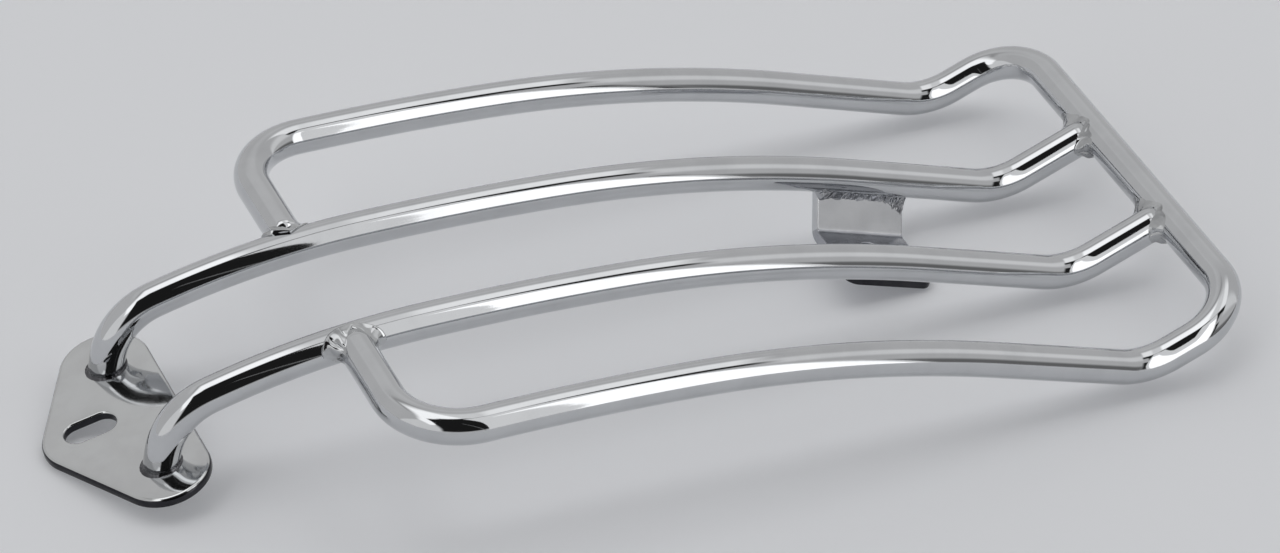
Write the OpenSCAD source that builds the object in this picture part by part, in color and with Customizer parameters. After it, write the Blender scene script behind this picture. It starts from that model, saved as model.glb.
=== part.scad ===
// Chrome luggage rack for behind a solo seat: bent round bar, welded.
// X runs from the seat plate to the rear crossbar, Y across, Z up.

/* [Bar] */
// Diameter of the round bar that every bent piece is made of
bar_d = 12.7; // [11:0.1:14]

/* [Side profile] */
// Angle at which the inner rails leave the seat plate
rail_lean = 68.3; // [62:0.1:76]
// Straight foot of an inner rail above the plate
foot_len = 5.3; // [4:0.1:12]
// Radius of the bend that turns the rail from the plate towards the rear
neck_radius = 23.8; // [21:0.1:30]
// Angle of that bend
neck_angle = 65.7; // [60:0.1:72]
// Radius of the first part of the arch, on the inner rails only
front_arch_radius = 292; // [240:1:340]
// How far that part turns
front_arch_angle = 14.9; // [13:0.1:17]
// Radius of the arch's middle, nearly flat
middle_arch_radius = 970; // [800:5:1200]
// How far the middle turns
middle_arch_angle = 4.2; // [3:0.1:6]
// Radius of the arch's rear part
rear_arch_radius = 475; // [400:5:560]
// How far the rear part turns
rear_arch_angle = 14.5; // [12:0.1:17]
// Straight stretch between the arch and the kick
tail_len = 53.7; // [45:0.1:70]
// Radius of the bend that kicks the rear end up
kick_radius = 30.3; // [25:0.1:36]
// Angle of the kick
kick_angle = 40.8; // [34:0.1:46]
// From the kick bend to the middle of the crossbar
kick_len = 30.8; // [30:0.1:45]

/* [Layout] */
// Distance between the centres of the inner rails
rail_spacing = 58; // [54:0.5:64]
// Distance between the centres of the hoop's two sides
hoop_width = 179.5; // [165:0.5:200]
// Bend radius at the hoop's front corners
front_corner_radius = 25; // [20:0.5:30]
// Bend radius at the two ends of the crossbar
rear_corner_radius = 22.3; // [18:0.1:28]
// Straight stretch between the hoop's arch and its front corner
corner_lead = 1.4; // [0.2:0.1:8]

/* [Seat plate] */
// Thickness of the plate
plate_t = 3.5; // [3:0.1:5]
// Radius of its three corners
plate_corner_radius = 16.3; // [14.5:0.1:19]
// How far the nose corner's centre lies in front of the rails
plate_nose = 17.2; // [14:0.1:24]
// Distance between the centres of the two rear corners
plate_corner_spacing = 63; // [58:0.5:72]
// Width of the slot for the seat bolt
slot_w = 10.2; // [8:0.1:11]
// Length of the slot, end to end
slot_len = 19; // [16:0.1:22]
// How far the slot's middle lies in front of the rails
slot_ahead = 15.3; // [14:0.1:18]
// How far the slot's middle lies beside the rack's, towards the far rail
slot_side = 2.6; // [0:0.1:3]

/* [Rear bracket] */
// Thickness of the strap
strap_t = 4; // [3:0.1:5]
// Width of the strap, along the rail
strap_w = 36.8; // [30:0.1:42]
// Middle of the strap, behind the start of the tail
strap_place = 5.9; // [3:0.1:12]
// How far the flange leans inboard from upright
flange_lean = 37; // [30:1:42]
// Inside radius of the bend between flange and web
strap_bend_radius = 3; // [2:0.5:5]
// Depth of the web's upper face below the rail's centre
web_drop = 17.1; // [16:0.1:20]
// How far the web reaches past the rack's middle
web_reach = 11.8; // [8:0.1:16]
// Radius of the web's two end corners
web_corner_radius = 5; // [2:0.5:8]
// Diameter of the fender bolt hole
bolt_hole_d = 8.5; // [6.5:0.1:9.5]
// Hole centre from the rack's middle, towards the far rail
bolt_hole_out = 7.5; // [5:0.1:9]

/* [Welds] */
// How far a weld bead stands out from the bar
bead = 1.5; // [1:0.1:2]
// Gap between a rail's foot and its hole in the plate
foot_gap = 0.1; // [0.05:0.05:0.3]
// Gap between the bracket's flange and its rail
weld_gap = 0.15; // [0.15:0.05:0.3]

/* [Hidden] */
// Fragments of a full turn: of round sections, and of the bends, so that long arches stay round
round_fn = 144;
bend_fn = 720;
$fn = round_fn;
bar_r = bar_d / 2;
// Straight stretches run a hair inside the bends and tuck into them, so that they fuse
hair = 0.05;
tuck = 0.3;
straight_r = bar_r - hair;
// Straight link between two arches that follow each other
link_len = 1;
// Edges of the plate lie this far inside the corners' tangents
edge_inset = 0.03;
// Cutters reach this far past what they cut
past = 1;

// Bend planes, turned about the bar: flat, towards the top, towards the underside
flat = 0;
up = 90;
down = -90;

// Side profile from the plate to the crossbar: straight, radius, bend (plus is upwards)
profile = [
  [foot_len, neck_radius, -neck_angle],
  [link_len, front_arch_radius, -front_arch_angle],
  [link_len, middle_arch_radius, -middle_arch_angle],
  [link_len, rear_arch_radius, -rear_arch_angle],
  [tail_len, kick_radius, kick_angle],
  [kick_len, 0, 0]
];

// Where a point of the profile is, as [x, z, heading], after a number of its steps
function step_on(at, s) =
  let (h = at[2], x = at[0] + s[0] * cos(h), z = at[1] + s[0] * sin(h), k = sign(s[2]) * s[1])
  [x + k * (sin(h + s[2]) - sin(h)), z - k * (cos(h + s[2]) - cos(h)), h + s[2]];
function walk(count) = count == 0 ? [0, 0, rail_lean] : step_on(walk(count - 1), profile[count - 1]);
// A point given along and below the bar at some place of the profile, with the same heading
function beside(at, along, below) =
  [at[0] + along * cos(at[2]) + below * sin(at[2]), at[1] + along * sin(at[2]) - below * cos(at[2]), at[2]];

corner_at = walk(2);
tail_at = walk(4);
crossbar_at = walk(6);

// The rack rests on the nose of its plate and on the rear edge of its bracket
nose_x = -plate_nose - plate_corner_radius;
strap_rear = beside(tail_at, strap_place + strap_w / 2, web_drop + strap_t);
rest_tilt = atan2(-plate_t - strap_rear[1], strap_rear[0] - nose_x);
lift = -(nose_x * sin(rest_tilt) - plate_t * cos(rest_tilt));
front_end = nose_x * cos(rest_tilt);
rear_end = crossbar_at[0] * cos(rest_tilt) - crossbar_at[1] * sin(rest_tilt) + bar_r;
ahead = (front_end + rear_end) / 2;

// A bar butts against another with its end cut a little inside that bar's surface
butt = 0.55 * bar_r;
// A bead is part of a ball on the joining bar's centre line
bead_r = bar_r + bead;
bead_back = 0.7 * bar_r;

// The foot runs through the plate and past its underside before it is trimmed
foot_below = plate_t / sin(rail_lean) + bar_r / tan(rail_lean) + past;
rail_path = [
  [foot_below + foot_len, neck_radius, neck_angle, down],
  [link_len, front_arch_radius, front_arch_angle, down],
  [link_len, middle_arch_radius, middle_arch_angle, down],
  [link_len, rear_arch_radius, rear_arch_angle, down],
  [tail_len, kick_radius, kick_angle, up],
  [kick_len - butt, 0, 0, flat]
];

// The hoop's half path starts where the crossbar ends and stops at the inner rail
leg_len = (hoop_width - rail_spacing) / 2 - front_corner_radius - butt;
half_hoop_path = [
  [0, rear_corner_radius, 90, flat],
  [kick_len - rear_corner_radius, kick_radius, kick_angle, up],
  [tail_len, rear_arch_radius, rear_arch_angle, down],
  [link_len, middle_arch_radius, middle_arch_angle, down],
  [corner_lead, front_corner_radius, 90, flat],
  [leg_len, 0, 0, flat]
];
// Centre line of the hoop's front legs, ahead of the place where its arch ends
leg_at = beside(corner_at, link_len - corner_lead - front_corner_radius, 0);

// Bracket, measured in the tail's own frame; its flats run a hair inside its bend
web_mid = web_drop + strap_t / 2;
flange_top = 0.8 * bar_r;
strap_mid_radius = strap_bend_radius + strap_t / 2;
flat_t = strap_t - 2 * hair;
flat_w = strap_w - 2 * hair;
// The flange's middle line leaves the rail here and reaches the bend there
bend_angle = 90 - flange_lean;
bend_take = strap_mid_radius * tan(bend_angle / 2);
flange_y = rail_spacing / 2;
flange_len = (web_mid - flange_top) / cos(flange_lean) - bend_take;
web_start = flange_y - (web_mid - flange_top) * tan(flange_lean) - bend_take;
web_len = web_start + web_reach;

// Beads at the flange's two ends are parts of balls, set below and inboard of the rail's centre
end_bead_r = 3 * bead;
end_bead_in = 0.35 * bar_r;
end_bead_down = 0.95 * bar_r;

// Ring at a rail's foot: the cap of a ball that lies under the plate's upper face
foot_half = bar_r / sin(rail_lean);
ring_out = foot_half + 0.9 * bead;
ring_in = foot_half - 0.27 * bead;
ring_depth = (pow(ring_out, 2) - pow(ring_in, 2) - pow(bead, 2)) / (2 * bead);
ring_ball = sqrt(pow(ring_out, 2) + pow(ring_depth, 2));

// Stands the rack on its plate and bracket, centred over the origin
module at_rest() {
  translate([-ahead, 0, lift])
    rotate([0, -rest_tilt, 0])
      children();
}

// Places things in the x-z plane of the profile, with x along the bar's heading
module on_profile(at, y = 0) {
  translate([at[0], y, at[1]])
    rotate([0, -at[2], 0])
      children();
}

// A bar bent in steps, each a straight length and then a bend in some plane
module bent_bar(path, i = 0) {
  if (i < len(path)) {
    feed = path[i][0];
    radius = path[i][1];
    angle = path[i][2];
    plane = path[i][3];
    last = i == len(path) - 1;
    if (feed > 0)
      translate([i == 0 ? 0 : -tuck, 0, 0])
        rotate([0, 90, 0])
          cylinder(h = feed + (i == 0 ? 0 : tuck) + (last ? 0 : tuck), r = straight_r);
    translate([feed, 0, 0])
      rotate([plane, 0, 0]) {
        if (angle > 0)
          translate([0, radius, 0])
            rotate([0, 0, -90])
              rotate_extrude(angle = angle, $fn = bend_fn)
                translate([radius, 0])
                  circle(r = bar_r, $fn = round_fn);
        translate([radius * sin(angle), radius * (1 - cos(angle)), 0])
          rotate([0, 0, angle])
            rotate([-plane, 0, 0])
              bent_bar(path, i + 1);
      }
  }
}

// The straight bar between the hoop's two rear corners
module crossbar() {
  on_profile(crossbar_at)
    rotate([90, 0, 0])
      cylinder(h = hoop_width - 2 * rear_corner_radius + 2 * tuck, r = straight_r, center = true);
}

// The untrimmed inner rail on side 1 (far) or -1 (near), or its first few steps
module rail_bar(side, steps = len(rail_path)) {
  on_profile([-foot_below * cos(rail_lean), -foot_below * sin(rail_lean), rail_lean], side * rail_spacing / 2)
    bent_bar([for (i = [0 : steps - 1]) rail_path[i]]);
}

module below_plate() {
  translate([-2 * bar_d, -rail_spacing, -plate_t - 3 * bar_d])
    cube([4 * bar_d, 2 * rail_spacing, 3 * bar_d]);
}

module rail(side) {
  color("gainsboro")
    at_rest()
      difference() {
        rail_bar(side);
        crossbar();
        below_plate();
      }
}

module half_hoop() {
  on_profile(crossbar_at, hoop_width / 2 - rear_corner_radius)
    rotate([0, 0, 90])
      bent_bar(half_hoop_path);
}

module outer_hoop() {
  color("gainsboro")
    at_rest()
      difference() {
        union() {
          crossbar();
          half_hoop();
          mirror([0, 1, 0])
            half_hoop();
        }
        rail_bar(1, 2);
        rail_bar(-1, 2);
      }
}

// Three round corners joined by straight edges that lie a hair inside their tangents
module plate_blank() {
  half = plate_corner_spacing / 2;
  r = plate_corner_radius - edge_inset;
  edge_turn = atan2(half, plate_nose);
  nx = -sin(edge_turn);
  ny = cos(edge_turn);
  linear_extrude(plate_t)
    polygon([
      [-plate_nose + r * nx, r * ny], [r * nx, half + r * ny], [0, half], [r, half],
      [r, -half], [0, -half], [r * nx, -half - r * ny], [-plate_nose + r * nx, -r * ny], [-plate_nose, 0]
    ]);
  translate([-plate_nose, 0, 0])
    cylinder(h = plate_t, r = plate_corner_radius);
  for (side = [-1, 1])
    translate([0, side * half, 0])
      cylinder(h = plate_t, r = plate_corner_radius);
}

// Cutter for the slot, a little deeper than the plate
module slot_cutter() {
  reach = (slot_len - slot_w) / 2;
  translate([0, 0, plate_t / 2])
    cube([2 * reach, slot_w - 2 * hair, plate_t + 2 * past], center = true);
  for (end = [-1, 1])
    translate([end * reach, 0, -past])
      cylinder(h = plate_t + 2 * past, d = slot_w);
}

module front_plate() {
  color("silver")
    at_rest()
      difference() {
        translate([0, 0, -plate_t])
          plate_blank();
        translate([-slot_ahead, slot_side, -plate_t])
          slot_cutter();
        for (side = [-1, 1])
          translate([0, side * rail_spacing / 2, 0])
            rotate([0, 90 - rail_lean, 0])
              cylinder(h = 4 * bar_d, r = bar_r + foot_gap, center = true);
      }
}

// Folded strap: flange leaning inboard, then the bend into the web
module strap() {
  on_profile(tail_at)
    translate([strap_place, flange_y, -flange_top])
      rotate([90 - flange_lean, 0, 0]) {
        translate([-flat_w / 2, -flange_len - tuck, -flat_t / 2])
          cube([flat_w, flange_len + tuck, flat_t]);
        translate([0, -flange_len, strap_mid_radius])
          rotate([0, 90, 0])
            rotate([0, 0, -bend_angle])
              rotate_extrude(angle = bend_angle)
                translate([strap_bend_radius, -strap_w / 2])
                  square([strap_t, strap_w]);
      }
}

// Level part of the strap, with two round corners and the bolt hole
module web() {
  corner_x = strap_w / 2 - web_corner_radius;
  corner_y = web_corner_radius - web_len;
  on_profile(tail_at)
    translate([strap_place, web_start, -web_mid - flat_t / 2])
      difference() {
        union() {
          translate([-flat_w / 2, corner_y, 0])
            cube([flat_w, tuck - corner_y, flat_t]);
          translate([-corner_x, hair - web_len, 0])
            cube([2 * corner_x, 2 * web_corner_radius, flat_t]);
          for (end = [-1, 1])
            translate([end * corner_x, corner_y, 0])
              cylinder(h = flat_t, r = web_corner_radius);
        }
        translate([0, bolt_hole_out - web_start, -past])
          cylinder(h = strap_t + 2 * past, d = bolt_hole_d);
      }
}

// The flange ends just clear of the rail, and the beads at its two ends join them
module rear_bracket() {
  color("silver")
    at_rest()
      difference() {
        union() {
          strap();
          web();
        }
        on_profile(tail_at, flange_y)
          translate([strap_place, 0, 0])
            rotate([0, 90, 0])
              cylinder(h = strap_w + 2 * past, r = bar_r + weld_gap, center = true);
      }
}

// Bead where a hoop leg meets the outboard side of an inner rail
module hoop_weld(side) {
  color("darkgray")
    at_rest()
      difference() {
        on_profile(leg_at, side * (rail_spacing / 2 + bead_back))
          rotate([90, 0, 0])
            sphere(r = bead_r);
        on_profile(leg_at, side * rail_spacing / 2)
          rotate([-90 * side, 0, 0])
            cylinder(h = 3 * bar_d, r = straight_r);
        rail_bar(side, 2);
      }
}

// Bead where an inner rail meets the crossbar
module crossbar_weld(side) {
  color("darkgray")
    at_rest()
      difference() {
        on_profile(crossbar_at, side * rail_spacing / 2)
          translate([-bead_back, 0, 0])
            rotate([0, 90, 0])
              sphere(r = bead_r);
        on_profile(crossbar_at, side * rail_spacing / 2)
          translate([-kick_len, 0, 0])
            rotate([0, 90, 0])
              cylinder(h = kick_len - butt, r = straight_r);
        crossbar();
      }
}

// Low ring round a rail's foot on the plate
module plate_weld(side) {
  color("darkgray")
    at_rest()
      difference() {
        translate([0, side * rail_spacing / 2, 0])
          intersection() {
            translate([0, 0, -ring_depth])
              sphere(r = ring_ball);
            cylinder(h = bar_d, r = bar_d);
          }
        rail_bar(side, 1);
      }
}

// Bead over one end of the bracket's flange, 1 at the rear and -1 at the front
module bracket_weld(end) {
  color("darkgray")
    at_rest()
      difference() {
        on_profile(tail_at)
          translate([strap_place + end * strap_w / 2, flange_y - end_bead_in, -end_bead_down])
            rotate([0, 90, 0])
              sphere(r = end_bead_r);
        rail_bar(1);
        strap();
      }
}

outer_hoop();
rail(1);  // rail_far
rail(-1);  // rail_near
front_plate();
rear_bracket();
hoop_weld(1);  // hoop_weld_far
hoop_weld(-1);  // hoop_weld_near
crossbar_weld(1);  // crossbar_weld_far
crossbar_weld(-1);  // crossbar_weld_near
plate_weld(1);  // plate_weld_far
plate_weld(-1);  // plate_weld_near
bracket_weld(-1);  // bracket_weld_front
bracket_weld(1);  // bracket_weld_rear
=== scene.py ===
import math

import bpy
import numpy as np
from mathutils import Matrix


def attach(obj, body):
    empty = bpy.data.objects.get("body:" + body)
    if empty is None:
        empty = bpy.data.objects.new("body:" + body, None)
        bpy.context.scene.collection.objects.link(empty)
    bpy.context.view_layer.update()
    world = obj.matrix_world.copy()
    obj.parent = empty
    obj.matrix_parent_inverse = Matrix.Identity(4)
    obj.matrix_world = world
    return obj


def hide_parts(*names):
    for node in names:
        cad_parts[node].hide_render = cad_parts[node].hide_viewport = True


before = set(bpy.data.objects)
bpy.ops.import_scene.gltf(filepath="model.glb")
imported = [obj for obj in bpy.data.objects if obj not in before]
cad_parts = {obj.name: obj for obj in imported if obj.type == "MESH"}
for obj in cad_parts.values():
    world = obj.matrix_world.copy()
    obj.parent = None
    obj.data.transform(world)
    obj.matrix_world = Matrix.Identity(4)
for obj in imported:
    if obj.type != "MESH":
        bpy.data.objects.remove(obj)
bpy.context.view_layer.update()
print("frame loaded:", len(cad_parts), "nodes")

mm = 0.001  # every size below is in millimetres, as in the part's source

# Shared shape of the rack

bar = {
    "radius": 6.35,
    "butt": 3.49,          # a bar's end stays this far from the middle of the bar that it meets
    "sides": 72,
    "straightStep": 4.0,   # distance between rings on a straight
    "bendStep": 1.5,       # largest distance between rings on a bend, and largest turn in degrees
    "bendTurn": 3.0,
}

side = {  # in order from the foot: straight before the bend, bend radius, bend angle (plus bends upwards)
    "neck": (5.3, 23.8, -65.7),
    "frontArch": (1, 292, -14.9),
    "middleArch": (1, 970, -4.2),
    "rearArch": (1, 475, -14.5),
    "kick": (53.7, 30.3, 40.8),
    "end": (30.8, 0, 0),
}

layout = {
    "lean": 68.3,          # of the rails' feet, in degrees from the plate
    "railSpacing": 58.0,
    "hoopWidth": 179.5,    # between the middles of its bars
    "frontCorner": 25.0,
    "rearCorner": 22.3,
    "cornerLead": 1.4,     # straight between the middle arch and the front corner
    "plateThickness": 3.5,
}

rest = {"tilt": 13.89634666, "ahead": 179.46620057, "lift": 11.44312720}  # from the plate's axes to its frame


def sinD(a):
    return np.sin(np.radians(a))


def cosD(a):
    return np.cos(np.radians(a))


def turnX(a):  # a rotation matrix for one angle, or one for each angle of an array
    a = np.radians(np.asarray(a, float))
    c, s, zero, one = np.cos(a), np.sin(a), np.zeros_like(a), np.ones_like(a)
    return np.stack([one, zero, zero, zero, c, -s, zero, s, c], -1).reshape(a.shape + (3, 3))


def turnZ(a):
    a = np.radians(np.asarray(a, float))
    c, s, zero, one = np.cos(a), np.sin(a), np.zeros_like(a), np.ones_like(a)
    return np.stack([c, -s, zero, s, c, zero, zero, zero, one], -1).reshape(a.shape + (3, 3))


def turnY(a):
    a = np.radians(float(a))
    return np.array([[np.cos(a), 0, np.sin(a)], [0, 1, 0], [-np.sin(a), 0, np.cos(a)]])


def atRest(p):
    # x' = x cos(tilt) - z sin(tilt) - ahead, z' = x sin(tilt) + z cos(tilt) + lift, then to metres
    t = rest["tilt"]
    x = p[..., 0] * cosD(t) - p[..., 2] * sinD(t) - rest["ahead"]
    z = p[..., 0] * sinD(t) + p[..., 2] * cosD(t) + rest["lift"]
    return np.stack([x, p[..., 1], z], -1) * mm


def profileAt(count):
    # place and heading on the side profile after its first bends: each adds its straight along the heading,
    # then radius (sin of the new heading - sin of the old) in x and minus the same with cos in z
    x, z, h = 0.0, 0.0, layout["lean"]
    for feed, radius, angle in list(side.values())[:count]:
        k = np.sign(angle) * radius
        x = x + feed * cosD(h) + k * (sinD(h + angle) - sinD(h))
        z = z + feed * sinD(h) - k * (cosD(h + angle) - cosD(h))
        h += angle
    return x, z, h


def placeOn(at, along=0.0, below=0.0, y=0.0):
    # points given along and below the bar at a place of the profile
    x, z, h = at
    x, z = x + along * cosD(h) + below * sinD(h), z + along * sinD(h) - below * cosD(h)
    return np.stack(np.broadcast_arrays(x, y, z), -1)


cornerAt = profileAt(2)    # where the front arch ends
tailAt = profileAt(4)      # where the rear arch ends
crossbarAt = profileAt(6)  # middle of the crossbar


def bentPath(start, axes, walk):
    # centre line of a bent bar: feeds straight, then turns in its plane on start + radius (sin a, 1 - cos a)
    points, turns = [start[None]], [axes[None]]
    for feed, radius, angle, plane in walk:
        if feed > 0:
            s = np.linspace(0, feed, int(feed / bar["straightStep"]) + 2)[1:]
            points.append(start + s[:, None] * axes[:, 0])
            turns.append(np.repeat(axes[None], len(s), 0))
            start = points[-1][-1]
        if angle > 0:
            steps = max(radius * math.radians(angle) / bar["bendStep"], angle / bar["bendTurn"])
            a = np.linspace(0, angle, int(math.ceil(steps)) + 1)[1:]
            flat = axes @ turnX(plane)
            ways = np.stack([radius * sinD(a), radius * (1 - cosD(a)), 0 * a], -1)
            points.append(start + ways @ flat.T)
            turns.append(flat @ turnZ(a) @ turnX(-plane))
            start, axes = points[-1][-1], turns[-1][-1]
    return np.concatenate(points), np.concatenate(turns)


def unit(v):
    return v / np.linalg.norm(v, axis=-1, keepdims=True)


def gridFaces(nu, nv, wrapU, wrapV):
    # quads of a grid whose vertex (u, v) has the number u * nv + v
    across, along = np.arange(nu if wrapU else nu - 1), np.arange(nv if wrapV else nv - 1)
    u, v = np.meshgrid(across, along, indexing="ij")
    u2, v2 = (u + 1) % nu, (v + 1) % nv
    return np.stack([u * nv + v, u2 * nv + v, u2 * nv + v2, u * nv + v2], -1).reshape(-1, 4)


def outward(verts, faces):
    # signed volume of the fan of each face: a negative sum means the faces look inwards
    a, b, c = (verts[faces[:, k]] for k in (0, 1, 2))
    d = verts[faces[:, -1]]
    volume = np.sum(np.cross(a, b) * c) + np.sum(np.cross(a, c) * d)
    return faces if volume > 0 else faces[:, ::-1]


def endCaps(verts, faces, first, last):
    # the rings at both ends of a tube, wound so that their fans look the same way as its faces
    looksOut = outward(verts, faces) is faces
    return [first, last[::-1]] if looksOut else [first[::-1], last]


def newObject(name, verts, faces):
    mesh = bpy.data.meshes.new(name)
    mesh.from_pydata(verts, [], faces)
    made = bpy.data.objects.new(name, mesh)
    bpy.context.scene.collection.objects.link(made)
    return made, mesh


def makePiece(name, verts, faces, node, material, caps=()):
    # one mesh from whole arrays; caps are rings of vertex numbers that a fan closes
    faces = outward(verts, faces).tolist()
    vertList = verts.tolist()
    for ring in caps:
        middle = verts[ring].mean(0)
        vertList.append(middle.tolist())
        fan = np.stack([ring, np.roll(ring, -1), np.full(len(ring), len(vertList) - 1)], -1)
        faces += fan.tolist()
    piece, mesh = newObject(name, vertList, faces)
    mesh.validate()
    mesh.update()
    mesh.polygons.foreach_set("use_smooth", np.ones(len(mesh.polygons), bool))
    mesh.materials.append(material)
    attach(piece, "root")
    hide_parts(node)
    return piece


def closedPiece(name, grid, node, material):
    # a grid of points that closes on itself both ways, as a ring does
    faces = gridFaces(*grid.shape[:2], True, True)
    return makePiece(name, atRest(grid).reshape(-1, 3), faces, node, material)


# Shader maths

class Wire:  # a socket that adds Math nodes when it is used in an expression
    def __init__(self, tree, socket):
        self.tree, self.socket = tree, socket

    def node(self, kind, settings=None, out=0, **inputs):
        # any node: its settings first, then the values or links of its sockets
        made = self.tree.nodes.new(kind)
        for key, value in (settings or {}).items():
            setattr(made, key, value)
        for key, value in inputs.items():
            numbered = key[0] == "i" and key[1:].isdigit()  # i0, i1 and so on count the node's sockets
            target = made.inputs[int(key[1:]) if numbered else key]
            if isinstance(value, Wire):
                self.tree.links.new(value.socket, target)
            else:
                target.default_value = value
        return Wire(self.tree, made.outputs[out])

    def math(self, operation, a, b):
        return self.node("ShaderNodeMath", {"operation": operation}, i0=a, i1=b)

    def __add__(self, other): return self.math("ADD", self, other)
    def __radd__(self, other): return self.math("ADD", other, self)
    def __sub__(self, other): return self.math("SUBTRACT", self, other)
    def __rsub__(self, other): return self.math("SUBTRACT", other, self)
    def __mul__(self, other): return self.math("MULTIPLY", self, other)
    def __rmul__(self, other): return self.math("MULTIPLY", other, self)
    def __neg__(self): return self.math("MULTIPLY", self, -1.0)

    def smooth(self, low, high):
        # 0 below low, 1 above high, smooth between
        settings = {"interpolation_type": "SMOOTHSTEP"}
        return self.node("ShaderNodeMapRange", settings, i0=self, i1=low, i2=high, i3=0.0, i4=1.0)

    def band(self, low, high, soft):
        # 1 between low and high, 0 outside, with a fade of twice soft over each end
        return self.smooth(low - soft, low + soft) * (1 - self.smooth(high - soft, high + soft))


def newShader(name):
    material = bpy.data.materials.new(name)
    material.use_nodes = True
    tree = material.node_tree
    tree.nodes.clear()
    shader = tree.nodes.new("ShaderNodeBsdfPrincipled")
    output = tree.nodes.new("ShaderNodeOutputMaterial")
    tree.links.new(shader.outputs[0], output.inputs[0])
    return material, tree, shader


chrome = {
    # colour, its darker clouds, least and most roughness, strength of the orange peel and of the slow waves
    "bar": {"colour": (0.60, 0.61, 0.625), "deep": (0.56, 0.57, 0.585), "rough": (0.035, 0.075),
            "peel": 0.012, "wave": 0.03},
    "plate": {"colour": (0.60, 0.61, 0.615), "deep": (0.56, 0.565, 0.57), "rough": (0.055, 0.13),
              "peel": 0.02, "wave": 0.08},
    "weld": {"colour": (0.57, 0.58, 0.59), "deep": (0.27, 0.275, 0.285), "rough": (0.05, 0.15),
             "peel": 0.05, "wave": 0.2},
    "strap": {"colour": (0.64, 0.65, 0.67), "deep": (0.58, 0.59, 0.61), "rough": (0.16, 0.26),
              "peel": 0.1, "wave": 0.4},
    # web: a darker copy of the strap's chrome, painted shade on the web that lies under the near rail
    "web": {"colour": (0.45, 0.46, 0.49), "deep": (0.38, 0.39, 0.42), "rough": (0.14, 0.26),
            "peel": 0.1, "wave": 0.4},
    # edge: near-black chrome that paints shade on the plate's edge band and slot wall, and on the bracket's end face
    "edge": {"colour": (0.05, 0.05, 0.055), "deep": (0.025, 0.025, 0.03), "rough": (0.2, 0.32),
             "peel": 0.08, "wave": 0.2},
    "bead": {"colour": (0.50, 0.51, 0.53), "deep": (0.22, 0.22, 0.23), "rough": (0.10, 0.26),
             "peel": 0.08, "wave": 0.3},
    "seam": {"colour": (0.16, 0.16, 0.17), "deep": (0.06, 0.06, 0.065), "rough": (0.12, 0.26),
             "peel": 0.08, "wave": 0.2},
}
plating = {
    "cloud": {"Scale": 70.0, "Detail": 4.0, "Roughness": 0.55},
    "peel": {"Scale": 900.0, "Detail": 3.0, "Roughness": 0.6},
    "wave": {"Scale": 45.0, "Detail": 1.0, "Roughness": 0.4},
    "haze": (0.35, 0.75),  # the clouds' noise fades in between these
    "hazeShare": 0.7,      # of the roughness between its least and its most
    "peelShare": 0.3,
    "bump": {"Strength": 0.35, "Distance": 0.0004},
}


def chromeMaterial(key):
    # plating: a mirror with faint cloudiness, an orange-peel ripple and a slow waviness
    v = chrome[key]
    material, tree, shader = newShader("chrome" + key.capitalize())
    w = Wire(tree, None)
    place = w.node("ShaderNodeTexCoord", out="Object")
    cloud, peel, wave = (w.node("ShaderNodeTexNoise", out="Fac", Vector=place, **plating[k])
                         for k in ("cloud", "peel", "wave"))
    haze = cloud.smooth(*plating["haze"])
    clear, cloudy = v["colour"] + (1,), v["deep"] + (1,)
    colour = w.node("ShaderNodeMix", {"data_type": "RGBA"}, out=2, i0=haze, i6=clear, i7=cloudy)
    low, high = v["rough"]
    rough = low + (high - low) * (plating["hazeShare"] * haze + plating["peelShare"] * peel)
    bump = w.node("ShaderNodeBump", Height=v["wave"] * wave + v["peel"] * peel, **plating["bump"])
    tree.links.new(colour.socket, shader.inputs["Base Color"])
    tree.links.new(rough.socket, shader.inputs["Roughness"])
    tree.links.new(bump.socket, shader.inputs["Normal"])
    shader.inputs["Metallic"].default_value = 1.0
    return material


# the edge and web chromes in this table paint shade; the others are the metal's own finish
finishAndShade = {key: chromeMaterial(key) for key in chrome}
print("materials made")

# Bars

def sweepRings(points, turns, radius):
    # ring of each centre point: centre + radius (cos f left + sin f up)
    f = np.linspace(0, 2 * np.pi, bar["sides"], endpoint=False)
    ring = np.cos(f)[:, None, None] * turns[None, :, :, 1] + np.sin(f)[:, None, None] * turns[None, :, :, 2]
    return (points[None] + radius * ring).transpose(1, 0, 2)


def barPiece(name, rings, node):
    # rings joined into a tube and closed at both ends
    count, sides = rings.shape[:2]
    verts, faces = atRest(rings).reshape(-1, 3), gridFaces(count, sides, False, True)
    first, last = np.arange(sides), (count - 1) * sides + np.arange(sides)
    return makePiece(name, verts, faces, node, finishAndShade["bar"], endCaps(verts, faces, first, last))


rail = {"ringsLeftOut": 2}  # after the first one, as room for the foot's slanted end


def buildRail(name, node, y):
    # the side profile, from the plate's underside to the crossbar
    lean, thickness = layout["lean"], layout["plateThickness"]
    below = thickness / sinD(lean)
    walk = [(feed, radius, abs(angle), 90 if angle > 0 else -90) for feed, radius, angle in side.values()]
    walk[0] = (walk[0][0] + below,) + walk[0][1:]
    walk[-1] = (walk[-1][0] - bar["butt"], 0, 0, 0)
    start = np.array([-below * cosD(lean), y, -below * sinD(lean)])
    points, turns = bentPath(start, turnY(-lean), walk)
    keep = np.ones(len(points), bool)
    keep[1:1 + rail["ringsLeftOut"]] = False
    rings = sweepRings(points[keep], turns[keep], bar["radius"])
    run = turns[0][:, 0]
    drop = (-thickness - rings[0, :, 2]) / run[2]  # the foot ends flush with the plate's underside
    rings[0] += drop[:, None] * run
    return barPiece(name, rings, node)


buildRail("railFar", "rail_far", layout["railSpacing"] / 2)
buildRail("railNear", "rail_near", -layout["railSpacing"] / 2)


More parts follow.
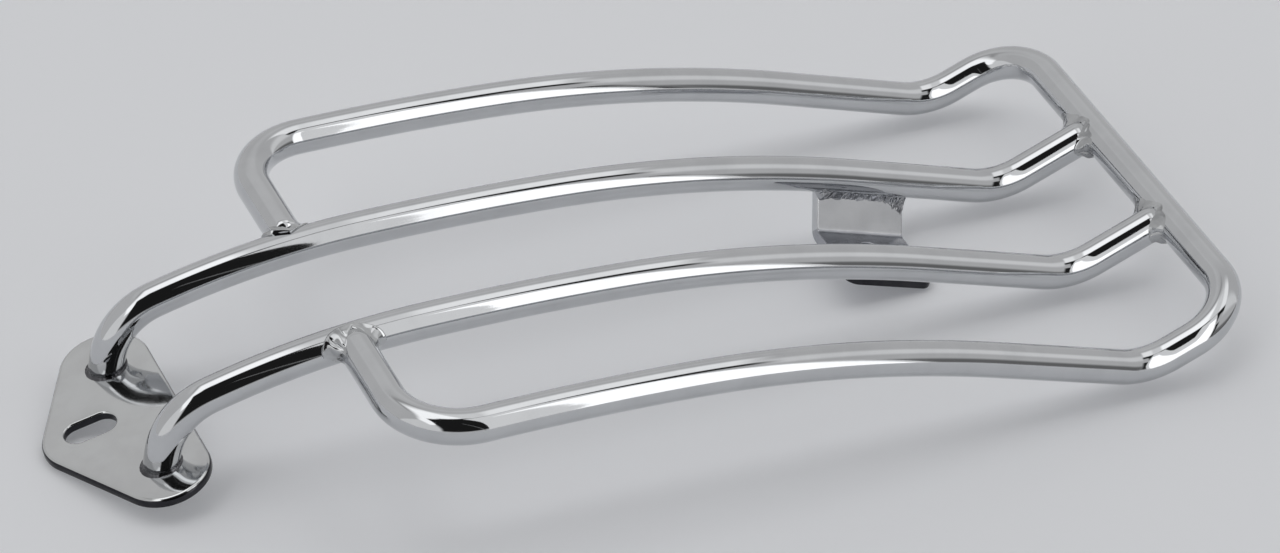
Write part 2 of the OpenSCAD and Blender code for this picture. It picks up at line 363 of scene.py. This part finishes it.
def buildHoop(name, node):
    # one half from the crossbar's middle to the leg, and its mirror image before it
    frontCorner, rearCorner = layout["frontCorner"], layout["rearCorner"]
    kick, rearArch, middleArch = side["kick"], side["rearArch"], side["middleArch"]
    walk = [
        (layout["hoopWidth"] / 2 - rearCorner, rearCorner, 90, 0),
        (side["end"][0] - rearCorner, kick[1], kick[2], 90),
        (kick[0], rearArch[1], -rearArch[2], -90),
        (rearArch[0], middleArch[1], -middleArch[2], -90),
        (layout["cornerLead"], frontCorner, 90, 0),
        ((layout["hoopWidth"] - layout["railSpacing"]) / 2 - frontCorner - bar["butt"], 0, 0, 0),
    ]
    points, turns = bentPath(placeOn(crossbarAt), turnY(-crossbarAt[2]) @ turnZ(90), walk)
    rings = sweepRings(points, turns, bar["radius"])
    mirrored = rings[::-1][:-1] * np.array([1, -1, 1])
    return barPiece(name, np.concatenate([mirrored, rings]), node)


buildHoop("outerHoop", "outer_hoop")
print("bars made")

# Plates

def joinArcs(arcs, normals, edgeCount):
    # arcs joined by straights into one loop: p + s (q - p) from each arc's end to the next one's start
    loopP, loopN = [], []
    s = np.linspace(0, 1, edgeCount + 2)[1:-1, None]
    for k, (p, n) in enumerate(zip(arcs, normals)):
        q = arcs[(k + 1) % len(arcs)][0]
        loopP += [p, p[-1] + s * (q - p[-1])]
        loopN += [n, np.repeat(n[-1:], edgeCount, 0)]
    return np.concatenate(loopP), np.concatenate(loopN)


def roundedLoop(corners, radii, arcStep, edgeCount):
    # corners go counter-clockwise, each with its arc's radius: an arc is centre + radius (cos a, sin a)
    corners = np.asarray(corners, float)
    arcs, normals = [], []
    ahead, behind = np.roll(corners, -1, 0) - corners, corners - np.roll(corners, 1, 0)
    headingIn, headingOut = (np.degrees(np.arctan2(d[:, 1], d[:, 0])) for d in (behind, ahead))
    for c, r, a, b in zip(corners, radii, headingIn, headingOut):
        turn = (b - a) % 360
        back = r * np.tan(np.radians(turn / 2))
        centre = c - back * np.array([cosD(a), sinD(a)]) + r * np.array([-sinD(a), cosD(a)])
        arc = a - 90 + np.linspace(0, turn, int(turn / arcStep))
        n = np.stack([cosD(arc), sinD(arc)], -1)
        arcs.append(centre + r * n)
        normals.append(n)
    return joinArcs(arcs, normals, edgeCount)


def roundedTriangle(v):
    # three circles and their outer tangents, as one loop that starts at the nose
    half, r, nose = v["cornerSpacing"] / 2, v["cornerRadius"], v["nose"]
    turn = np.degrees(np.arctan2(half, nose))
    arcs, normals = [], []
    circles = [((-nose, 0), 90 + turn, 270 - turn), ((0, -half), 270 - turn, 360), ((0, half), 0, 90 + turn)]
    for centre, a0, a1 in circles:
        arc = np.linspace(a0, a1, int((a1 - a0) / v["arcStep"]))
        n = np.stack([cosD(arc), sinD(arc)], -1)
        arcs.append(np.array(centre) + r * n)
        normals.append(n)
    return joinArcs(arcs, normals, v["edgeCount"])


def stadiumAt(angle, reach, radius):
    # where a ray from the middle meets a slot with round ends: on its straight edge, where that is
    # radius / |sin|, or on the circle about (reach, 0), reach |cos| + root(radius^2 - (reach sin)^2)
    c, s = np.cos(angle), np.sin(angle)
    onEdge = np.abs(c) * radius <= reach * np.abs(s)
    toEdge = radius / np.maximum(np.abs(s), 1e-9)
    toCircle = reach * np.abs(c) + np.sqrt(np.maximum(radius ** 2 - (reach * s) ** 2, 0))
    p = np.where(onEdge, toEdge, toCircle)[:, None] * np.stack([c, s], -1)
    centre = np.stack([np.clip(p[:, 0], -reach, reach), np.zeros_like(c)], -1)
    return p, (p - centre) / radius


def plateRows(thickness, rimTop, rimBottom, holeRim, faceRows, rimRows=7):
    # rows round the section: share of the way to the hole, inset, outset from the hole, height over the
    # underside; each rim is a quarter circle, radius (1 - cos a) in from the edge, radius (1 - sin a) from the face
    a = np.linspace(0, np.pi / 2, rimRows)
    inFrom, upTo = 1 - np.cos(a), 1 - np.sin(a)
    rows = [(0, rimBottom * q, 0, rimBottom * h) for q, h in zip(inFrom[::-1], upTo[::-1])]
    rows += [(0, rimTop * q, 0, thickness - rimTop * h) for q, h in zip(inFrom, upTo)]
    rows += [(s, rimTop, holeRim, thickness) for s in np.linspace(0, 1, faceRows + 2)[1:-1]]
    rows += [(1, 0, holeRim * q, thickness - holeRim * h) for q, h in zip(inFrom[::-1], upTo[::-1])]
    rows += [(1, 0, holeRim * q, holeRim * h) for q, h in zip(inFrom, upTo)]
    rows += [(s, rimBottom, holeRim, 0) for s in np.linspace(1, 0, faceRows + 2)[1:-1]]
    return np.array(rows, float)


def plateGrid(outline, normals, hole, holeNormals, rows):
    # point = (1 - s)(outline - inset normal) + s (hole + outset normal), at the row's height
    s, inset, outset, z = (rows[:, k][None, :, None] for k in range(4))
    outer = outline[:, None] - inset * normals[:, None]
    inner = hole[:, None] + outset * holeNormals[:, None]
    flat = (1 - s) * outer + s * inner
    return np.concatenate([flat, np.broadcast_to(z, flat.shape[:2] + (1,))], -1)


def shadeFaces(piece, grid, choose, material):
    # faces whose middle on the flat blank is chosen take another material, which paints shade on them
    nextRow, nextRim = np.roll(grid, -1, 0), np.roll(grid, -1, 1)
    middle = (grid + nextRow + nextRim + np.roll(nextRow, -1, 1)) / 4
    index = np.zeros(len(piece.data.polygons), np.int32)
    piece.data.polygons.foreach_get("material_index", index)
    index[choose(middle).reshape(-1)] = len(piece.data.materials)
    piece.data.materials.append(material)
    piece.data.polygons.foreach_set("material_index", index)


seatPlate = {
    "cornerRadius": 16.3, "nose": 17.2, "cornerSpacing": 63.0,
    "slotWidth": 10.2, "slotLength": 19.0, "slotAhead": 15.3, "slotSide": 2.6,
    "rim": 1.5, "rimBelow": 0.4,         # rounding of the upper edge, and the lower one's share of it
    "slotRim": 0.7,
    "shadeFrom": 0.3, "shadeTo": 0.1,        # painted shade on the edge band and the slot's wall: from this share of the rim below the top to this far above the underside
                                         # to this far above the underside
    "arcStep": 1.2, "edgeCount": 40, "faceRows": 6,
}


def buildSeatPlate(name, node):
    # a rounded triangle with a slot: each point of the outline goes to the slot's edge along a ray from its middle
    v, thickness = seatPlate, layout["plateThickness"]
    outline, normals = roundedTriangle(v)
    middle = np.array([-v["slotAhead"], v["slotSide"]])
    ray = outline - middle
    reach = (v["slotLength"] - v["slotWidth"]) / 2
    hole, holeNormals = stadiumAt(np.arctan2(ray[:, 1], ray[:, 0]), reach, v["slotWidth"] / 2)
    rows = plateRows(thickness, v["rim"], v["rim"] * v["rimBelow"], v["slotRim"], v["faceRows"])
    grid = plateGrid(outline, normals, hole + middle, holeNormals, rows)
    grid[..., 2] -= thickness
    piece = closedPiece(name, grid, node, finishAndShade["plate"])

    # painted shade: the edge band and the slot's wall take the near-black edge chrome
    def onShadedEdge(p):
        return (p[..., 2] < -v["shadeFrom"] * v["rim"]) & (p[..., 2] > v["shadeTo"] - thickness)

    shadeFaces(piece, grid, onShadedEdge, finishAndShade["edge"])
    return piece


buildSeatPlate("seatPlate", "front_plate")

strap = {
    "thickness": 4.0, "width": 36.8, "lean": 37.0, "bendRadius": 3.0,
    "place": 5.9,                        # of its middle, past the end of the rear arch
    "top": 0.8,                          # its upper edge below the rail's middle, in bar radii
    "webDrop": 17.1, "webReach": 11.8,   # web's upper face below the rail's middle, and past the rack's middle
    "cornerRadius": 5.0, "topCorner": 1.0, "rim": 0.45,
    "holeDiameter": 8.5, "holeOut": 7.5, "holeRim": 0.35,
    "webShadeStart": 0.3,                    # share of the bend where the web's painted shade starts
    "shadedEndLength": 7.0, "faceMargin": 0.1,   # painted shade on the end: the edge is near black this far from the end, between the faces
    "arcStep": 4.0, "edgeCount": 70, "faceRows": 66,
}


def buildStrap(name, node):
    # cut flat as a rounded rectangle with a hole, then folded: flange, arc of the bend, level web
    v = strap
    lean, bend = v["lean"], 90 - v["lean"]
    midRadius = v["bendRadius"] + v["thickness"] / 2
    webMid = v["webDrop"] + v["thickness"] / 2
    top = v["top"] * bar["radius"]
    take = midRadius * math.tan(math.radians(bend / 2))
    flange = (webMid - top) / cosD(lean) - take
    arc = midRadius * math.radians(bend)
    y0 = layout["railSpacing"] / 2
    webStart = y0 - (webMid - top) * math.tan(math.radians(lean)) - take
    length = flange + arc + webStart + v["webReach"]
    holeAt = np.array([flange + arc + webStart - v["holeOut"], 0.0])
    half = v["width"] / 2
    corners = [(0, -half), (length, -half), (length, half), (0, half)]
    radii = [v["topCorner"], v["cornerRadius"], v["cornerRadius"], v["topCorner"]]
    outline, normals = roundedLoop(corners, radii, v["arcStep"], v["edgeCount"])
    ray = unit(outline - holeAt)
    hole = holeAt + ray * v["holeDiameter"] / 2
    rows = plateRows(v["thickness"], v["rim"], v["rim"], v["holeRim"], v["faceRows"])
    flatGrid = plateGrid(outline, normals, hole, ray, rows)
    u, across, h = flatGrid[..., 0], flatGrid[..., 1], v["thickness"] / 2 - flatGrid[..., 2]
    # the fold: the heading turns from the flange's lean to level while u runs through the arc,
    # y and z are straight + radius (cos lean - cos heading, sin heading - sin lean) + web
    heading = lean + np.degrees(np.clip(u - flange, 0, arc) / midRadius)  # from straight down towards inboard
    flatPart, webPart = np.minimum(u, flange), np.maximum(u - flange - arc, 0)
    inboard = flatPart * sinD(lean) + midRadius * (cosD(lean) - cosD(heading)) + webPart
    down = flatPart * cosD(lean) + midRadius * (sinD(heading) - sinD(lean))
    y = y0 - inboard + h * cosD(heading)
    placed = placeOn(tailAt, v["place"] + across, top + down + h * sinD(heading), y)
    piece = closedPiece(name, placed, node, finishAndShade["strap"])

    # painted shade: the web takes the darker web chrome
    def onWeb(p):
        return p[..., 0] > flange + v["webShadeStart"] * arc

    # painted shade: the end face takes the near-black edge chrome
    def onEnd(p):
        inside = (p[..., 2] > v["faceMargin"]) & (p[..., 2] < v["thickness"] - v["faceMargin"])
        return (p[..., 0] > length - v["shadedEndLength"]) & inside

    shadeFaces(piece, flatGrid, onWeb, finishAndShade["web"])
    shadeFaces(piece, flatGrid, onEnd, finishAndShade["edge"])
    return piece


buildStrap("fenderBracket", "rear_bracket")
print("plate and bracket made")

# Welds

bead = {"around": 240, "across": 24, "sunk": 0.05}  # points round and across; how far its edges lie inside

drops = {
    "stray": (0.16, 0.09),       # of the drops along the seam, in a slow and a quick wave
    "bow": 0.9, "jitter": 0.4,   # how far their middles run ahead, and how unevenly they follow each other
    "size": (0.75, 0.35, 0.30),  # mean, slow wave and quick wave
}


def beadGrid(a, control, b, inside, height, normal):
    # bead = (1 - v)^2 a + 2 v (1 - v) control + v^2 b, raised along the normal by the height
    v = np.linspace(0, 1, bead["across"])[None, :, None]
    curve = (1 - v) ** 2 * a[:, None] + 2 * v * (1 - v) * control[:, None] + v ** 2 * b[:, None]
    curve = curve + height[..., None] * normal[:, None]
    return np.concatenate([curve, inside[:, None]], 1)


def lumps(t, ripples, seed):
    # overlapping drops along the seam, |cos(ripples / 2 t)| to the power 0.8, strayed, bowed and sized by
    # slower waves, and faded to nothing at both edges by (4 v (1 - v)) to the power 1.5
    v = np.linspace(0, 1, bead["across"])[None, :]
    slow, quick = drops["stray"]
    stray = t + slow * np.sin(2 * t + seed) + quick * np.sin(5 * t + 2.3 * seed)
    bow = drops["bow"] * (2 * v - 1) ** 2
    drop = np.abs(np.cos(ripples / 2 * stray + bow + drops["jitter"] * np.sin(9 * t + seed)))
    mean, slow, quick = drops["size"]
    size = mean + slow * np.sin(3 * t + 1.7 * seed) + quick * np.sin(8 * t + seed) * np.sin(2 * np.pi * v + seed)
    return (4 * v * (1 - v)) ** 1.5 * drop ** 0.8 * size


saddles = {
    # fillet widths on the joining bar and on the other, bulge, height of the drops, and how much
    # wider the fillet gets on its smooth side and on its rough side
    "legWeldFar": {"widths": (3.4, 2.6), "bulge": 0.05, "drops": 0.04, "swell": (0.1, 0.0)},
    "legWeldNear": {"widths": (4.2, 4.0), "bulge": 0.2, "drops": 1.2, "swell": (0.1, 0.5)},
    "crossbarWeld": {"widths": (4.6, 5.0), "bulge": 0.15, "drops": 1.6, "swell": (0.7, 0.1)},
}
saddleForm = {
    "ripples": 11,
    "cusp": 0.02,           # rounds the seam's two cusps
    "width": (0.10, 0.90),  # share of the fillet that the level tops have, and that the sides add
    "waver": 0.12,
    "rough": (0.62, 0.38),  # share of the drops on both sides, and what moves from the smooth to the rough one
    "round": (0.3, 0.3),    # share of the bulge all round, and that the tops add
    "core": (0.45, 0.4),    # hidden inner edge, in bar radii: round the joining bar and out along it
}


def saddle(name, node, centre, out, along, joint, seed):
    # where two equal bars meet square: one joins in the direction out, the other runs in the direction along,
    # and their seam is r cos t along + r sin t up + r |cos t| out; the drops are rough where cos t is negative
    v, r = saddleForm, bar["radius"]
    t = np.linspace(0, 2 * np.pi, bead["around"], endpoint=False)[:, None]
    c, s, up = np.cos(t), np.sin(t), np.cross(out, along)
    flank = np.abs(c)
    rise = np.sqrt(c ** 2 + v["cusp"])
    (joinWidth, otherWidth), (smoothSwell, roughSwell) = joint["widths"], joint["swell"]
    topShare, sideShare = v["width"]
    width = topShare + sideShare * flank ** 0.9 + v["waver"] * np.sin(3 * t + seed) * flank
    width = width + smoothSwell * np.maximum(c, 0) ** 3 + roughSwell * np.maximum(-c, 0) ** 2
    ring = c * along + s * up
    seam = r * (ring + rise * out)
    sunk = r - bead["sunk"]
    a = sunk * ring + (r * rise + joinWidth * width) * out
    arc = np.arcsin(s) + otherWidth * width / r * s
    b = (sunk * np.sin(arc)) * up + (sunk * np.cos(arc)) * out + (r + otherWidth * width) * c * along
    coreRound, coreOut = v["core"]
    inside = coreRound * r * ring + coreOut * r * out
    normal = unit(c * along + 2 * s * up + rise * out)
    both, extra = v["rough"]
    rough = flank ** 1.6 * (both - extra * np.sign(c) * flank ** 0.5)
    allRound, onTop = v["round"]
    across = np.linspace(0, 1, bead["across"])[None, :]
    bulge = (4 * across * (1 - across)) ** 2 * joint["bulge"] * (allRound + onTop * np.abs(s))
    height = bulge + joint["drops"] * rough * lumps(t, v["ripples"], seed)
    grid = beadGrid(centre + a, centre + seam, centre + b, centre + inside, height, normal)
    return closedPiece(name, grid, node, finishAndShade["weld"])


def headingAt(at):  # direction of the bar at a place of the profile
    return np.array([cosD(at[2]), 0, sinD(at[2])])


# the leg's middle, past the end of the front arch
legAlong = side["middleArch"][0] - layout["cornerLead"] - layout["frontCorner"]
for name, node, way in (("legWeldFar", "hoop_weld_far", 1), ("legWeldNear", "hoop_weld_near", -1)):
    centre = placeOn(cornerAt, legAlong, y=way * layout["railSpacing"] / 2)
    saddle(name, node, centre, np.array([0, way, 0.0]), headingAt(cornerAt), saddles[name], 1.3 + way)

for name, node, way in (("crossbarWeldFar", "crossbar_weld_far", 1), ("crossbarWeldNear", "crossbar_weld_near", -1)):
    centre = placeOn(crossbarAt, y=way * layout["railSpacing"] / 2)
    saddle(name, node, centre, -headingAt(crossbarAt), np.array([0, 1.0, 0]), saddles["crossbarWeld"], 2.1 + way)

footWeld = {
    "width": 1.1, "ripples": 21, "drops": 0.12,  # width of the ring, count and height of its drops
    "plateSunk": 0.06, "railSunk": 0.1,  # how far its edges lie inside the plate and the rail
    "core": (0.7, 0.5),                  # hidden inner edge: share of the seam's size, and depth
}


def footRing(name, node, y, seed):
    # the rail's foot meets the plate in an ellipse: r cos t / sin(lean) in x, r sin t in y
    v, r, lean = footWeld, bar["radius"], layout["lean"]
    t = np.linspace(0, 2 * np.pi, bead["around"], endpoint=False)[:, None]
    c, s = np.cos(t), np.sin(t)
    xWay, yWay, zWay = np.eye(3)
    centre = np.array([0, y, 0.0])
    seam = r * (c / sinD(lean) * xWay + s * yWay)
    a = (r + v["width"]) / r * seam - v["plateSunk"] * zWay
    b = (r - v["railSunk"]) / r * seam + v["width"] * np.array([cosD(lean), 0, sinD(lean)])
    coreShare, coreDepth = v["core"]
    inside = coreShare * seam - coreDepth * zWay
    normal = unit(c * xWay + s * yWay + zWay)
    height = v["drops"] * lumps(t, v["ripples"], seed)
    grid = beadGrid(centre + a, centre + seam, centre + b, centre + inside, height, normal)
    return closedPiece(name, grid, node, finishAndShade["seam"])


footRing("footWeldFar", "plate_weld_far", layout["railSpacing"] / 2, 0.4)
footRing("footWeldNear", "plate_weld_near", -layout["railSpacing"] / 2, 2.0)

flangeWeld = {
    "ripples": 13, "height": 0.9, "flat": 0.3,  # the drops' height, and what lies under them
    "taper": 16,                                # each end tapers over one part in this many
    "ragged": ((0.10, 23), (0.07, 41), (0.05, 77)),  # size and pace of three waves of its edges
    "railAngle": 58, "climb": 22,               # edge on the rail: degrees below level, less the climb
    "seamDown": 2.3, "coreDown": 1.5,           # below the flange's upper edge
    "frontLump": 1.8, "frontReach": 2.8,        # extra metal at the front end: its height and its half length,
    "frontAt": 0.44,                            # where it lies ahead of the flange's middle, as a share of its width,
    "frontWaves": (0.6, 0.4), "frontPace": (2.6, 5),  # its mean and waves, and their pace along and across
}


def onFlange(along, down, off):
    # points on the bracket's flange: down from its upper edge, and off its middle towards inboard
    lean = strap["lean"]
    y = layout["railSpacing"] / 2 - down * sinD(lean) - off * cosD(lean)
    below = strap["top"] * bar["radius"] + down * cosD(lean) - off * sinD(lean)
    return placeOn(tailAt, along, below, y)


def onTail(along, angle, radius):
    # points on the rail's tail: radius (cos, sin) of the angle from its inboard side downwards
    return placeOn(tailAt, along, radius * sinD(angle), layout["railSpacing"] / 2 - radius * cosD(angle))


def flangeBead(name, node, start, end, reach, seed):
    # bead in the corner of rail and flange from start to end, shares of the strap's width;
    # its reach down the flange follows a curve of [share, reach], and it tapers at both ends
    v = flangeWeld
    s = np.linspace(0, 1, bead["around"])
    along = strap["place"] + strap["width"] * (start + (end - start) * s - 0.5)
    taper = np.clip(np.minimum(s, 1 - s) * v["taper"], 0, 1) ** 0.6
    down = np.interp(s, [q[0] for q in reach], [q[1] for q in reach])
    (size1, pace1), (size2, pace2), (size3, pace3) = v["ragged"]
    ragged = 1 + size1 * np.sin(pace1 * s + seed) + size2 * np.sin(pace2 * s + 2 * seed) + size3 * np.sin(pace3 * s)
    half, seamDown = strap["thickness"] / 2, v["seamDown"]
    a = onTail(along, v["railAngle"] - v["climb"] * taper * ragged, bar["radius"] - bead["sunk"])
    seam = onFlange(along, seamDown, half)
    b = onFlange(along, seamDown + (down - seamDown) * taper * ragged, half - bead["sunk"])
    inside = onFlange(along, v["coreDown"], 0.0)
    t = (2 * np.pi * s)[:, None]
    across = np.linspace(0, 1, bead["across"])[None, :]
    height = v["height"] * taper[:, None] * (v["flat"] + lumps(t * (end - start), v["ripples"], seed))
    # the lump at the front is a bell curve of the distance to it, in waves across the bead
    toFront = (along - strap["place"] + v["frontAt"] * strap["width"])[:, None]
    (mean, swing), (pace, paceAcross) = v["frontWaves"], v["frontPace"]
    waves = mean + swing * np.sin(pace * toFront + paceAcross * across)
    height = height + v["frontLump"] * np.exp(-(toFront / v["frontReach"]) ** 2) * waves
    height = height * (4 * across * (1 - across)) ** 0.5
    normal = np.repeat(unit(onFlange(0.0, 0.0, 1.0) - onFlange(0.0, 0.0, 0.0))[None], len(s), 0)
    grid = beadGrid(a, seam, b, inside, height, normal)
    verts, faces = atRest(grid).reshape(-1, 3), gridFaces(*grid.shape[:2], False, True)
    rows, cols = grid.shape[:2]
    first, last = np.arange(cols), (rows - 1) * cols + np.arange(cols)
    return makePiece(name, verts, faces, node, finishAndShade["bead"], endCaps(verts, faces, first, last))


frontReach = [(0, 4.5), (0.08, 5.4), (0.2, 4.6), (1, 4.2)]
rearReach = [(0, 4.0), (0.35, 5.0), (0.7, 7.5), (0.9, 8.2), (1, 6.0)]
flangeBead("bracketWeldFront", "bracket_weld_front", -0.03, 0.80, frontReach, 0.7)
flangeBead("bracketWeldRear", "bracket_weld_rear", 0.72, 1.02, rearReach, 2.4)
print("welds made")

# Stage, light and camera

floorPaper = {
    "colour": (0.80, 0.81, 0.835), "cloud": 0.985,  # the clouds are this much darker
    "half": 6.0,                                    # half of its side, in metres
    "grain": {"Scale": 6.0, "Detail": 2.0},
    "rough": 0.9, "specular": 0.1,
    "glow": 0.15,                                   # what the camera, metal and glass see of it without light
}


def buildFloor():
    v, half = floorPaper, floorPaper["half"]
    corners = [(-half, -half, 0), (half, -half, 0), (half, half, 0), (-half, half, 0)]
    floor, mesh = newObject("floor", corners, [(0, 1, 2, 3)])
    material, tree, shader = newShader("floorPaper")
    w = Wire(tree, None)
    place = w.node("ShaderNodeTexCoord", out="Object")
    cloud = w.node("ShaderNodeTexNoise", out="Fac", Vector=place, **v["grain"])
    light, dark = v["colour"] + (1,), tuple(v["cloud"] * k for k in v["colour"]) + (1,)
    colour = w.node("ShaderNodeMix", {"data_type": "RGBA"}, out=2, i0=cloud, i6=light, i7=dark)
    tree.links.new(colour.socket, shader.inputs["Base Color"])
    shader.inputs["Roughness"].default_value = v["rough"]
    shader.inputs["Specular IOR Level"].default_value = v["specular"]
    camera = w.node("ShaderNodeLightPath", out="Is Camera Ray")
    glossy, clear = (Wire(tree, camera.socket.node.outputs[k]) for k in ("Is Glossy Ray", "Is Transmission Ray"))
    seen = w.math("MINIMUM", camera + glossy + clear, 1.0) * v["glow"]
    shader.inputs["Emission Color"].default_value = light
    tree.links.new(seen.socket, shader.inputs["Emission Strength"])
    mesh.materials.append(material)


panels = {
    # y and level of each panel, and its corners (x, z), all in metres
    "frontBox": (-0.68, 1.75, [(0.15, 0.03), (0.43, 0.03), (0.61, 1.2), (0.67, 1.55), (0.37, 1.55), (0.32, 1.15),
                               (0.18, 0.39)]),
    "frontScreen": (-0.69, 0.92, [(0.065, 0.03), (0.46, 0.03), (0.80, 1.9), (1.2, 4.2), (-0.17, 4.2),
                                  (-0.06, 2.6), (0.0, 1.5), (0.04, 0.85)]),
    "lightRod": (-0.70, 0.2, [(0.022, 0.04), (0.036, 0.04), (-0.259, 0.94), (-0.273, 0.94)]),
}


def glossyPanel(name, y, level, corners):
    # a lit panel that only the polished metal shows: it casts no light on the floor
    panel, mesh = newObject(name, [(x, y, z) for x, z in corners], [tuple(range(len(corners)))])
    panel.visible_camera = panel.visible_diffuse = panel.visible_shadow = panel.visible_transmission = False
    material, _, shader = newShader(name)
    shader.inputs["Base Color"].default_value = (0, 0, 0, 1)
    shader.inputs["Specular IOR Level"].default_value = 0.0
    shader.inputs["Emission Color"].default_value = (1, 1, 1, 1)
    shader.inputs["Emission Strength"].default_value = level
    mesh.materials.append(material)


studio = {
    # the far surroundings by direction: x is the direction's share along the rack, turn its angle about
    # the rack's length in degrees, 0 towards the camera's side, 90 overhead and 180 behind;
    # a pair is where a fade starts and ends, a triple a band's two ends and half of its fades
    "grey": 0.59,
    "room": {"level": 0.015, "turn": (2.0, 8.0), "ceiling": (84.0, 87.0)},  # dark, up to the ceiling's edge
    "ceiling": {"level": 1.5, "turn": (84.5, 89.5), "back": (111.0, 125.0), "x": (-0.72, 0.50, 0.03)},
    "ceilingDips": ((36, (0.50, 0.64)), (4, (0.25, 0.40)), (3, (0.0, 0.10))),  # lower edge: two left, one right
    "ceilingSlant": (-0.28, 93),           # of the back edge: left of this x, degrees for each 1 of x
    "ceilingShades": ((0.40, (-0.04, 0.04)), (0.20, (0.21, 0.29))),  # darker part, then part of it lit again
    "right": (0.49, 0.54),                 # past this x the room ends
    "beside": {"x": (0.36, 0.42), "turn": (47.0, 71.0, 3.0)},  # grey gap in the room
    "cheek": {"level": 0.27, "turn": (62.0, 96.0, 10.0)},      # light on the right
    "corner": {"level": 0.17, "turn": (-2.0, 25.0, 9.0)},      # dark corner low on the right
    "window": {"level": 0.85, "x": (-0.66, -0.58), "turn": (-12.0, 74.0, 4.0)},
    "edge": {"share": 0.35, "turn": (123.0, 128.0, 3.5), "x": (-0.5, 0.05, 0.05)},  # dark line behind the ceiling
    "rim": {"share": 0.13, "turn": (134.0, 147.0, 7.0), "x": (-0.5, 0.5, 0.1)},     # faint light behind that
    "below": {"level": 0.6, "front": (-2.0, 2.0), "back": (178.0, 180.0)},
}


def buildWorld():
    # each part of the surroundings is laid over the ones before it: old level (1 - mask) + own level mask
    v = studio
    world = bpy.data.worlds.new("studio")
    bpy.context.scene.world = world
    world.use_nodes = True
    tree = world.node_tree
    tree.nodes.clear()
    w = Wire(tree, None)
    way = w.node("ShaderNodeTexCoord", out="Generated")
    x = w.node("ShaderNodeSeparateXYZ", Vector=way, out="X")
    y, z = (Wire(tree, x.socket.node.outputs[k]) for k in "YZ")
    turn = w.math("ARCTAN2", z, -y) * (180 / math.pi)

    # low and high are the turn as the ceiling's lower and back edges see it, with their dips and slant
    (farDip, farX), (leftDip, leftX), (rightDip, rightX) = v["ceilingDips"]
    low = turn + farDip * (-x).smooth(*farX) + leftDip * (-x).smooth(*leftX) + rightDip * x.smooth(*rightX)
    slantAt, slant = v["ceilingSlant"]
    high = turn + slant * w.math("MAXIMUM", slantAt - x, 0.0)
    top = v["ceiling"]
    ceiling = low.smooth(*top["turn"]) * (1 - high.smooth(*top["back"])) * x.band(*top["x"])
    (shade, shadeX), (lift, liftX) = v["ceilingShades"]
    ceilingLevel = top["level"] * (1 - shade * x.smooth(*shadeX) + lift * x.smooth(*liftX))

    right = x.smooth(*v["right"])
    beside = x.smooth(*v["beside"]["x"]) * turn.band(*v["beside"]["turn"])
    dark = v["room"]
    room = (1 - right) * (1 - beside) * turn.smooth(*dark["turn"]) * (1 - low.smooth(*dark["ceiling"]))
    level = v["grey"] * (1 - room) + dark["level"] * room
    level = level + v["cheek"]["level"] * right * turn.band(*v["cheek"]["turn"])
    corner = right * turn.band(*v["corner"]["turn"])
    level = level * (1 - corner) + v["corner"]["level"] * corner
    window = (1 - x.smooth(*v["window"]["x"])) * turn.band(*v["window"]["turn"])
    level = level * (1 - window) + v["window"]["level"] * window
    edge, rim = (high.band(*v[k]["turn"]) * x.band(*v[k]["x"]) for k in ("edge", "rim"))
    level = level * (1 - v["edge"]["share"] * edge) * (1 + v["rim"]["share"] * rim)
    level = level * (1 - ceiling) + ceilingLevel * ceiling
    below = 1 - turn.smooth(*v["below"]["front"]) * (1 - turn.smooth(*v["below"]["back"]))
    level = level * (1 - below) + v["below"]["level"] * below
    light = w.node("ShaderNodeBackground", Color=(1, 1, 1, 1), Strength=level)
    output = tree.nodes.new("ShaderNodeOutputWorld")
    tree.links.new(light.socket, output.inputs[0])


buildFloor()
buildWorld()
for name, (y, level, corners) in panels.items():
    glossyPanel(name, y, level, corners)

view = {  # degrees, and millimetres
    "azimuth": -25.32516898, "elevation": 35.69033760, "roll": 3.49380212,
    "distance": 1926.31198, "target": (9.78995, -0.01351, 24.81217),
    "focal": 5430.31241, "imageWidth": 1280.0,  # these two in pixels of the photograph
    "sensor": 36.0, "farClip": 50.0,            # the clip in metres
}


def buildCamera():
    a, e, roll = (math.radians(view[k]) for k in ("azimuth", "elevation", "roll"))
    back = np.array([math.sin(a) * math.cos(e), -math.cos(a) * math.cos(e), math.sin(e)])
    levelRight = np.array([math.cos(a), math.sin(a), 0.0])
    levelUp = np.cross(back, levelRight)
    right = math.cos(roll) * levelRight + math.sin(roll) * levelUp
    up = math.cos(roll) * levelUp - math.sin(roll) * levelRight
    place = (np.array(view["target"]) + back * view["distance"]) * mm
    lens = bpy.data.cameras.new("camera")
    lens.sensor_width = view["sensor"]
    lens.sensor_fit = "HORIZONTAL"
    lens.lens = view["sensor"] * view["focal"] / view["imageWidth"]
    lens.clip_end = view["farClip"]
    camera = bpy.data.objects.new("camera", lens)
    camera.matrix_world = Matrix([[right[k], up[k], back[k], place[k]] for k in range(3)] + [[0, 0, 0, 1]])
    bpy.context.scene.collection.objects.link(camera)
    bpy.context.scene.camera = camera


buildCamera()
bpy.context.scene.view_settings.view_transform = "Standard"
print("stage, light and camera made")
